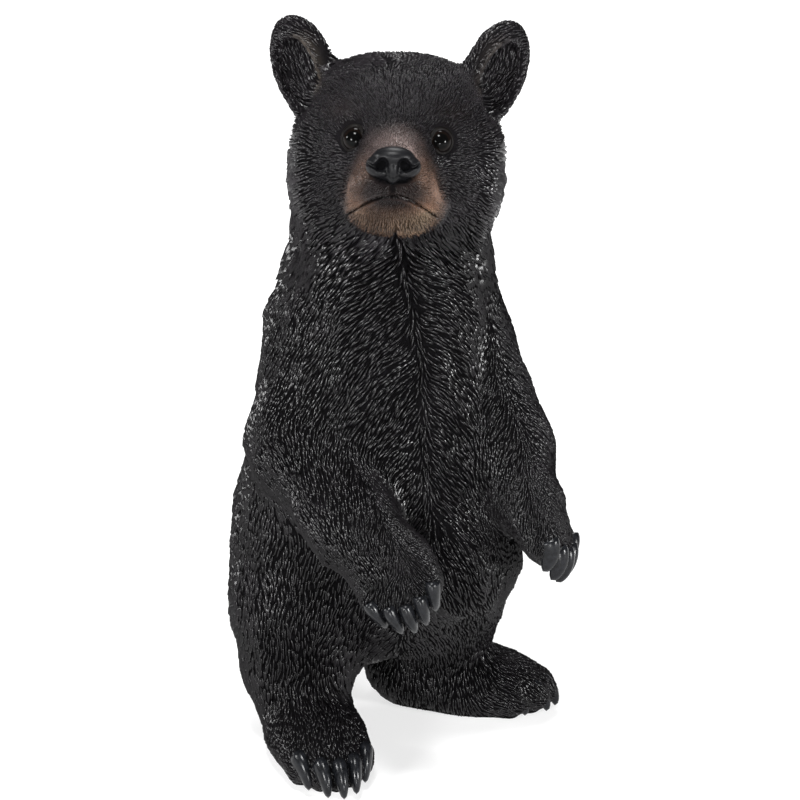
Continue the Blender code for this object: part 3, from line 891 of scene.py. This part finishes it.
# A row of claws: the paw's frame, their spacing, how far the row bows back, where its middle
# stands, each claw's length and width, and its slope in degrees at the base and at the point.
ClawRow = namedtuple("ClawRow", "paw spread bow front top length width starts ends")
CLAW_ROWS = {
    "right_foot_claws": ClawRow(RIGHT_FOOT, 10.5, 0.036, -70.6, 20.4, 21.8, 10.6, 20, 85),
    "left_foot_claws": ClawRow(LEFT_FOOT, 10.5, 0.036, -65.6, 20.0, 21.8, 8.4, 30, 95),
    "right_paw_claws": ClawRow(RIGHT_PAW, 9.7, 0.020, -18.6, 6.9, 20.4, 10.6, 6, 66),
    "left_paw_claws": ClawRow(LEFT_PAW, 9.7, 0.020, -18.6, 6.9, 20.4, 10.6, 6, 66),
}
CLAW_FAN = -0.75
CLAW_TAPER = 0.46
CLAW_DEPTH = 1.28
CLAW_KEEL = 0.22
LOWEST_CLAW = 0.3


def claw(toed, length, width, starts, ends, rings=11, sides=14):
    """A curved horn in parts, from its base on the toe to its point: its points and faces."""
    points = []
    faces = []
    at = np.zeros(3)
    for ring in range(rings + 1):
        t = ring / rings
        lean = math.radians(starts + t * (ends - starts))
        ahead = np.array((0, -math.cos(lean), -math.sin(lean)))
        above = np.array((0, -math.sin(lean), math.cos(lean)))
        if ring == rings:
            points.append(toed.out(at))
            break
        thick = width / 2 * (1 - t) ** CLAW_TAPER * (1 - 0.12 * math.exp(-t * 9))
        for side in range(sides):
            turn = 2 * math.pi * side / sides
            high = CLAW_DEPTH + CLAW_KEEL * max(math.sin(turn), 0) ** 2
            rim = thick * (math.cos(turn) * np.array((1, 0, 0)) + high * math.sin(turn) * above)
            points.append(toed.out(at + rim))
        at = at + ahead * length / rings
    for ring in range(rings - 1):
        for side in range(sides):
            a = ring * sides + side
            b = ring * sides + (side + 1) % sides
            faces.append((a, b, b + sides, a + sides))
    last = (rings - 1) * sides
    for side in range(sides):
        faces.append((last + side, last + (side + 1) % sides, len(points) - 1))
    faces.append(tuple(range(sides))[::-1])
    return points, faces


class CUB_OT_claws(bpy.types.Operator):
    """Model the claws of the four feet"""

    bl_idname = "cub.claws"
    bl_label = "Make the claws"

    def execute(self, context):
        for name, row in CLAW_ROWS.items():
            points = []
            faces = []
            for toe in range(5):
                across = (toe - 2) * row.spread
                base = (across, row.front + row.bow * across**2, row.top)
                toed = row.paw.inner(base, turned(yaw=CLAW_FAN * across))
                own, own_faces = claw(toed, row.length, row.width, row.starts, row.ends)
                faces.extend(tuple(i + len(points) for i in face) for face in own_faces)
                points.extend(own)
            points = np.array(points)
            points[:, 2] = np.maximum(points[:, 2], LOWEST_CLAW)
            piece = new_piece(name, to_metres(points), faces, once("Painted claw", make_claw))
            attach(piece, BODY)
        return {"FINISHED"}


class CUB_OT_eyes(bpy.types.Operator):
    """Set the glossy eyes"""

    bl_idname = "cub.eyes"
    bl_label = "Set the eyes"

    def execute(self, context):
        for (side, at, radius), node in zip(EYES, ("right_eye", "left_eye")):
            shape = bmesh.new()
            bmesh.ops.create_uvsphere(shape, u_segments=56, v_segments=36, radius=radius * PART)
            gaze = HEAD.axes @ np.array((side * 0.16, -0.985, 0.03))
            turn = Vector(gaze).to_track_quat("Z", "Y").to_matrix()
            bmesh.ops.transform(shape, matrix=turn.to_4x4(), verts=shape.verts)
            place = to_metres(at)
            bmesh.ops.translate(shape, vec=Vector(place), verts=shape.verts)
            mesh = bpy.data.meshes.new(node + "_ball")
            shape.to_mesh(mesh)
            shape.free()
            mesh.shade_smooth()
            mesh.materials.append(eye_material(node, place, gaze, radius * PART))
            piece = link(bpy.data.objects.new(node + "_ball", mesh))
            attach(piece, BODY)
            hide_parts(node)
        return {"FINISHED"}


# The nose's forms as (middle, radii) in the muzzle's frame: pad, the pad's back, the middle under
# it, septum and foot, then what each side has: a wing and the rim under the nostril.
NOSE_MIDDLE = (
    ((0, -89, -10.6), (11.4, 8.0, 5.9)), ((0, -83, -10.5), (10.8, 9, 5.6)), ((0, -84, -17), (12.6, 8, 7.2)),
    ((0, -89.9, -16.5), (3.4, 5.8, 6.4)), ((0, -87.4, -21.2), (3.6, 4.4, 4.0)))
NOSE_SIDE = (((8.9, -88.2, -15.6), (6.3, 7.4, 6.0)), ((7.4, -90.4, -19.6), (4.7, 4.2, 2.2)))
NOSTRIL = (((6.0, -97.0, -14.8), (3.9, 7.0, 3.9)), ((7.2, -95.4, -16.0), (3.9, 6.4, 3.0)))
NOSTRIL_SLIT = (1.3, 3.0, 1.1)

# Grids in metres of the nose's forms, of its nostrils and of the finished nose.
NOSE_GRIDS = (0.0005, 0.0004, 0.00042)


class CUB_OT_nose(bpy.types.Operator):
    """Model the bare nose with its nostrils"""

    bl_idname = "cub.nose"
    bl_label = "Make the nose"

    def execute(self, context):
        forms = list(NOSE_MIDDLE)
        holes = []
        for side in (-1, 1):
            forms.extend(((side * x, y, z), radii) for (x, y, z), radii in NOSE_SIDE)
            holes.extend(((side * x, y, z), radii) for (x, y, z), radii in NOSTRIL)
            for step in np.linspace(0, 1, 9):
                across = 8.0 + 7.0 * step
                place = (side * across, -95.4 + 0.09 * (across - 8) ** 2, -16.6 + 3.0 * step ** 2)
                holes.append((place, NOSTRIL_SLIT))
        body = self.lump("nose_helper", forms, NOSE_GRIDS[0])
        self.soften(body.data, 4)
        cutter = self.lump("nostril_helper", holes, NOSE_GRIDS[1])
        self.soften(cutter.data, 2)
        cut = body.modifiers.new("Nostrils", "BOOLEAN")
        cut.operation = "DIFFERENCE"
        cut.solver = "EXACT"
        cut.object = cutter
        fine = body.modifiers.new("Fine", "REMESH")
        fine.mode = "VOXEL"
        fine.voxel_size = NOSE_GRIDS[2]
        mesh = evaluated_copy(body, "nose")
        for helper in (body, cutter):
            bpy.data.objects.remove(helper)
        self.soften(mesh, 3)
        mesh.materials.clear()
        mesh.materials.append(once("Nose leather", make_leather))
        mesh.shade_smooth()
        piece = link(bpy.data.objects.new("nose", mesh))
        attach(piece, BODY)
        return {"FINISHED"}

    def lump(self, name, forms, voxel):
        """One closed form around several ovals of (middle, radii) in the muzzle's frame."""
        shape = bmesh.new()
        for middle, radii in forms:
            turn = Matrix((MUZZLE.axes * np.array(radii, float) * PART).tolist()).to_4x4()
            place = Matrix.Translation(Vector(to_metres(MUZZLE.out(middle)))) @ turn
            bmesh.ops.create_icosphere(shape, subdivisions=4, radius=1, matrix=place)
        mesh = bpy.data.meshes.new(name)
        shape.to_mesh(mesh)
        shape.free()
        thing = link(bpy.data.objects.new(name, mesh))
        join = thing.modifiers.new("Join", "REMESH")
        join.mode = "VOXEL"
        join.voxel_size = voxel
        joined = evaluated_copy(thing, name)
        thing.modifiers.clear()
        thing.data = joined
        return thing

    def soften(self, mesh, rounds):
        relax(mesh, rounds, np.ones(len(mesh.vertices)) * 0.9)


# Radius of an eyelid's rim in parts, what the upper lid has more, and how wide it may open in radians.
LID_THICKNESS = 1.0
UPPER_LID_EXTRA = 0.5
LID_OPENING = (0.80, 1.30)


class CUB_OT_eyelids(bpy.types.Operator):
    """Model the rims of the eyelids round the eyes"""

    bl_idname = "cub.eyelids"
    bl_label = "Make the eyelids"

    def execute(self, context):
        tree, _, _ = surface_tree(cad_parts["cub_casting"])
        for (side, at, radius), name in zip(EYES, ("right_eyelid", "left_eyelid")):
            ring, faces = self.rim(tree, side, at, radius)
            piece = new_piece(name, to_metres(ring), faces, once("Painted eyelid", make_lid))
            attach(piece, BODY)
        return {"FINISHED"}

    def rim(self, tree, side, at, radius, count=72, sides=12):
        """A tube round the open part of an eye: its points in parts, and its faces."""
        gaze = HEAD.axes @ unit((side * 0.10, -1, 0.02))
        across = unit(np.cross(gaze, (0, 0, 1)))
        above = np.cross(across, gaze)
        opening = []
        turns = 2 * math.pi * np.arange(count) / count
        for turn in turns:
            out = math.cos(turn) * across + math.sin(turn) * above
            # The opening ends at the first angle at which the casting covers the ball.
            for lean in np.radians(np.arange(25, 100, 1.0)):
                ahead = math.cos(lean) * gaze + math.sin(lean) * out
                hit = tree.ray_cast(Vector(to_metres(at)), Vector(ahead), (radius + 1.6) * PART)
                if hit[0] is not None:
                    break
            opening.append(lean)
        # Only the slow waves of the opening are kept, so that the rim runs evenly.
        wave = np.fft.rfft(opening)
        wave[4:] = 0
        opening = np.clip(np.fft.irfft(wave, count) - 0.02, *LID_OPENING)
        points = []
        for turn, lean in zip(turns, opening):
            out = math.cos(turn) * across + math.sin(turn) * above
            ahead = math.cos(lean) * gaze + math.sin(lean) * out
            level = math.cos(lean) * out - math.sin(lean) * gaze
            upper = max(math.sin(turn), 0)
            thick = LID_THICKNESS + UPPER_LID_EXTRA * upper
            middle = at + (radius + 0.10) * ahead + 0.55 * thick * level
            for k in range(sides):
                spin = 2 * math.pi * k / sides
                rim = 0.95 * math.cos(spin) * ahead + 1.15 * math.sin(spin) * level
                points.append(middle + thick * rim)
        faces = []
        for i in range(count):
            for k in range(sides):
                j = (i + 1) % count
                m = (k + 1) % sides
                faces.append((i * sides + k, i * sides + m, j * sides + m, j * sides + k))
        return np.array(points), faces


class Nodes:
    """A short hand for building a material's nodes."""

    def __init__(self, name):
        self.material = bpy.data.materials.new(name)
        self.material.use_nodes = True
        self.tree = self.material.node_tree
        self.shader = self.tree.nodes["Principled BSDF"]

    def add(self, kind, **values):
        node = self.tree.nodes.new(kind)
        for name, value in values.items():
            setattr(node, name, value)
        return node

    def join(self, source, target):
        self.tree.links.new(source, target)

    def attribute(self, name, socket="Color"):
        return self.add("ShaderNodeAttribute", attribute_name=name).outputs[socket]

    def noise(self, scale, detail):
        place = self.add("ShaderNodeTexCoord").outputs["Object"]
        node = self.add("ShaderNodeTexNoise")
        self.join(place, node.inputs["Vector"])
        node.inputs["Scale"].default_value = scale
        node.inputs["Detail"].default_value = detail
        node.inputs["Roughness"].default_value = 0.55
        return node.outputs["Fac"]

    def ramp(self, value, *stops):
        node = self.add("ShaderNodeValToRGB")
        self.join(value, node.inputs["Fac"])
        elements = node.color_ramp.elements
        while len(elements) < len(stops):
            elements.new(0.5)
        for element, (position, grey) in zip(elements, stops):
            element.position = position
            element.color = (*grey, 1) if isinstance(grey, tuple) else (grey, grey, grey, 1)
        return node.outputs["Color"]

    def math(self, operation, a, b):
        node = self.add("ShaderNodeMath", operation=operation)
        for socket, value in zip(node.inputs, (a, b)):
            if isinstance(value, (int, float)):
                socket.default_value = value
            else:
                self.join(value, socket)
        return node.outputs["Value"]

    def mix(self, blend, share, a, b):
        node = self.add("ShaderNodeMix", data_type="RGBA", blend_type=blend)
        sockets = [s for s in node.inputs if s.enabled]
        for socket, value in zip(sockets, (share, a, b)):
            if isinstance(value, (int, float)):
                socket.default_value = value
            elif isinstance(value, tuple):
                socket.default_value = (*value, 1)
            else:
                self.join(value, socket)
        return next(s for s in node.outputs if s.enabled)

    def bump(self, height, strength, distance):
        node = self.add("ShaderNodeBump")
        node.inputs["Strength"].default_value = strength
        node.inputs["Distance"].default_value = distance
        self.join(height, node.inputs["Height"])
        return node.outputs["Normal"]


def once(name, make):
    """The material of that name, made the first time it is asked for."""
    return bpy.data.materials.get(name) or make(name)


def make_resin(name):
    """Near black cast resin: painted colour, uneven gloss and a fine tooth."""
    n = Nodes(name)
    paint = n.attribute("Paint")
    cloud = n.ramp(n.noise(42, 4), (0.30, 0.72), (0.72, 1.25))
    colour = n.mix("MULTIPLY", 1.0, paint, cloud)
    dust = n.ramp(n.noise(900, 2), (0.50, 0.0), (0.85, 1.0))
    colour = n.mix("ADD", dust, colour, (0.004, 0.004, 0.005))
    n.join(colour, n.shader.inputs["Base Color"])
    gloss = n.attribute("Paint", "Alpha")
    patchy = n.ramp(n.noise(160, 3), (0.30, 0.85), (0.75, 1.20))
    rough = n.ramp(gloss, (0.0, 0.80), (0.9, 0.24))
    n.join(n.math("MULTIPLY", rough, patchy), n.shader.inputs["Roughness"])
    n.shader.inputs["Specular IOR Level"].default_value = 0.24
    grain = n.bump(n.noise(2600, 2), 0.25, 0.00012)
    n.join(grain, n.shader.inputs["Normal"])
    return n.material


def make_ground(name):
    """The same resin in the shade between the strokes, where it has hardly any gloss."""
    material = make_resin(name)
    for node in material.node_tree.nodes:
        if node.type == "BSDF_PRINCIPLED":
            node.inputs["Specular IOR Level"].default_value = 0.02
    return material


def make_leather(name):
    """Black nose leather with fine pebbling and a soft gloss."""
    _, paint, _ = settings()
    n = Nodes(name)
    cloud = n.ramp(n.noise(220, 3), (0.3, 0.8), (0.7, 1.3))
    n.join(n.mix("MULTIPLY", 1.0, tuple(paint.nose_black), cloud), n.shader.inputs["Base Color"])
    n.join(n.ramp(n.noise(320, 2), (0.3, 0.36), (0.8, 0.48)), n.shader.inputs["Roughness"])
    n.shader.inputs["Specular IOR Level"].default_value = 0.14
    n.join(n.bump(n.noise(1100, 3), 0.3, 0.00015), n.shader.inputs["Normal"])
    return n.material


def make_lid(name):
    """Near black rim with a faint gloss."""
    n = Nodes(name)
    tone = n.ramp(n.noise(600, 3), (0.3, (0.0016, 0.0014, 0.0014)), (0.7, (0.005, 0.004, 0.0035)))
    n.join(tone, n.shader.inputs["Base Color"])
    n.join(n.ramp(n.noise(500, 2), (0.3, 0.36), (0.8, 0.50)), n.shader.inputs["Roughness"])
    n.shader.inputs["Specular IOR Level"].default_value = 0.06
    n.join(n.bump(n.noise(1500, 2), 0.25, 0.00012), n.shader.inputs["Normal"])
    return n.material


def make_claw(name):
    """Dark grey painted horn with long faint streaks and a soft gloss."""
    _, paint, _ = settings()
    n = Nodes(name)
    grey = tuple(paint.claw_grey)
    streak = n.ramp(n.noise(420, 3), (0.35, 0.55), (0.70, 1.7))
    n.join(n.mix("MULTIPLY", 1.0, grey, streak), n.shader.inputs["Base Color"])
    n.join(n.ramp(n.noise(300, 2), (0.3, 0.20), (0.8, 0.34)), n.shader.inputs["Roughness"])
    n.shader.inputs["Specular IOR Level"].default_value = 0.18
    n.shader.inputs["Coat Weight"].default_value = 0.03
    n.shader.inputs["Coat Roughness"].default_value = 0.15
    n.join(n.bump(n.noise(700, 3), 0.3, 0.0002), n.shader.inputs["Normal"])
    return n.material


def eye_material(node, place, gaze, radius):
    """A black glass eye whose dark brown iris shows only round its rim."""
    n = Nodes("Eye glass " + node)
    at = n.add("ShaderNodeTexCoord").outputs["Object"]
    off = n.add("ShaderNodeVectorMath", operation="SUBTRACT")
    n.join(at, off.inputs[0])
    off.inputs[1].default_value = tuple(place)
    facing = n.add("ShaderNodeVectorMath", operation="DOT_PRODUCT")
    n.join(off.outputs["Vector"], facing.inputs[0])
    facing.inputs[1].default_value = tuple(gaze / radius)
    iris = n.ramp(facing.outputs["Value"], (0.62, (0.003, 0.002, 0.002)), (0.74, (0.0045, 0.0028, 0.0020)),
                  (0.82, (0.0012, 0.0012, 0.0012)))
    fleck = n.ramp(n.noise(1500, 3), (0.3, 0.7), (0.7, 1.2))
    n.join(n.mix("MULTIPLY", 1.0, iris, fleck), n.shader.inputs["Base Color"])
    n.shader.inputs["Roughness"].default_value = 0.10
    n.shader.inputs["Specular IOR Level"].default_value = 0.07
    return n.material


def floor_material():
    """Pale floor that glows as painted light: more with its distance from the statue, so that it has no far
    edge, and enough near it to lighten the shadows that the statue casts.
    """
    n = Nodes("Pale floor")
    tone = n.ramp(n.noise(0.8, 2), (0.3, 0.35), (0.7, 0.38))
    n.join(tone, n.shader.inputs["Base Color"])
    reach = n.add("ShaderNodeVectorMath", operation="LENGTH")
    n.join(n.add("ShaderNodeTexCoord").outputs["Object"], reach.inputs[0])
    glow = n.ramp(n.math("MULTIPLY", reach.outputs["Value"], 0.25), (0.05, 0.66), (0.42, 1.00))
    n.join(glow, n.shader.inputs["Emission Color"])
    n.shader.inputs["Emission Strength"].default_value = 1.0
    n.shader.inputs["Roughness"].default_value = 0.9
    n.shader.inputs["Specular IOR Level"].default_value = 0.1
    return n.material


# Square soft lamps as (name, place, share of the stage's lamp power, side), in metres.
LAMPS = (
    ("key", (-1.60, -1.35, 0.70), 0.70, 0.40),
    ("fill", (1.40, -1.55, 0.60), 0.85, 0.36),
    ("over", (-0.3, -0.7, 2.2), 0.85, 0.45),
    ("side", (-2.0, 0.35, 0.95), 0.40, 0.40),
    ("front", (-0.35, -2.1, 0.08), 0.35, 0.30),
    ("back", (0.45, 1.25, 2.35), 0.50, 0.70),
)
LAMPS_AIM = Vector((0, 0, 0.24))
WORLD_LIGHT = 0.10

# Where the camera stands in parts, and the way from what it looks at towards it.
CAMERA_SPOT = (-358.50871, -1460.14978, 761.53174)
CAMERA_BACK = (-0.22733222, -0.91177973, 0.34202014)


class CUB_OT_stage(bpy.types.Operator):
    """Set up the pale floor, the soft lights and the camera"""

    bl_idname = "cub.stage"
    bl_label = "Set the stage"

    def execute(self, context):
        _, _, stage = settings()
        half = stage.floor_size / 2
        corners = [(-half, -half, 0), (half, -half, 0), (half, half, 0), (-half, half, 0)]
        floor = new_piece("floor", corners, [(0, 1, 2, 3)], floor_material())
        floor.location.z = -0.0002
        self.sky(context.scene)
        for name, place, share, side in LAMPS:
            self.lamp(name, place, stage.lamp_power * share, side)
        context.scene.view_settings.view_transform = "Standard"
        self.camera(context.scene, stage)
        return {"FINISHED"}

    def sky(self, scene):
        world = bpy.data.worlds.new("Studio")
        world.use_nodes = True
        back = world.node_tree.nodes["Background"]
        back.inputs["Color"].default_value = (1.0, 1.0, 1.0, 1)
        back.inputs["Strength"].default_value = WORLD_LIGHT
        scene.world = world

    def lamp(self, name, place, power, size):
        light = bpy.data.lights.new(name, "AREA")
        light.shape = "SQUARE"
        light.size = size
        light.energy = power
        thing = link(bpy.data.objects.new(name, light))
        thing.location = place
        aim = LAMPS_AIM - Vector(place)
        thing.rotation_euler = aim.to_track_quat("-Z", "Y").to_euler()

    def camera(self, scene, stage):
        lens = bpy.data.cameras.new("photo_camera")
        lens.sensor_width = 36
        lens.lens = stage.lens
        lens.clip_start = 0.05
        lens.clip_end = 60
        thing = link(bpy.data.objects.new("photo_camera", lens))
        thing.location = Vector(to_metres(CAMERA_SPOT))
        thing.rotation_euler = Vector(CAMERA_BACK).to_track_quat("Z", "Y").to_euler()
        scene.camera = thing


class CUB_PT_looks(bpy.types.Panel):
    """Lists the statue's sizes, colours and steps"""

    bl_idname = "CUB_PT_looks"
    bl_label = "Bear cub"
    bl_space_type = "VIEW_3D"
    bl_region_type = "UI"
    bl_category = "Bear cub"

    def draw(self, context):
        for group in settings():
            box = self.layout.box()
            for name in group.bl_rna.properties.keys():
                if name not in ("rna_type", "name"):
                    box.prop(group, name)
        for step in OPERATORS:
            self.layout.operator(step.bl_idname)


OPERATORS = (CUB_OT_skin, CUB_OT_fur, CUB_OT_claws, CUB_OT_eyes, CUB_OT_eyelids, CUB_OT_nose,
             CUB_OT_stage)
CLASSES = (FurSizes, PaintColours, StageSizes, *OPERATORS, CUB_PT_looks)


def register():
    for kind in CLASSES:
        bpy.utils.register_class(kind)
    bpy.types.Scene.cub_fur = PointerProperty(type=FurSizes)
    bpy.types.Scene.cub_paint = PointerProperty(type=PaintColours)
    bpy.types.Scene.cub_stage = PointerProperty(type=StageSizes)


def unregister():
    for name in ("cub_fur", "cub_paint", "cub_stage"):
        delattr(bpy.types.Scene, name)
    for kind in reversed(CLASSES):
        bpy.utils.unregister_class(kind)


def main():
    register()
    bpy.ops.cub.skin()
    bpy.ops.cub.fur()
    bpy.ops.cub.claws()
    bpy.ops.cub.eyes()
    bpy.ops.cub.eyelids()
    bpy.ops.cub.nose()
    bpy.ops.cub.stage()


if __name__ == "__main__":
    main()
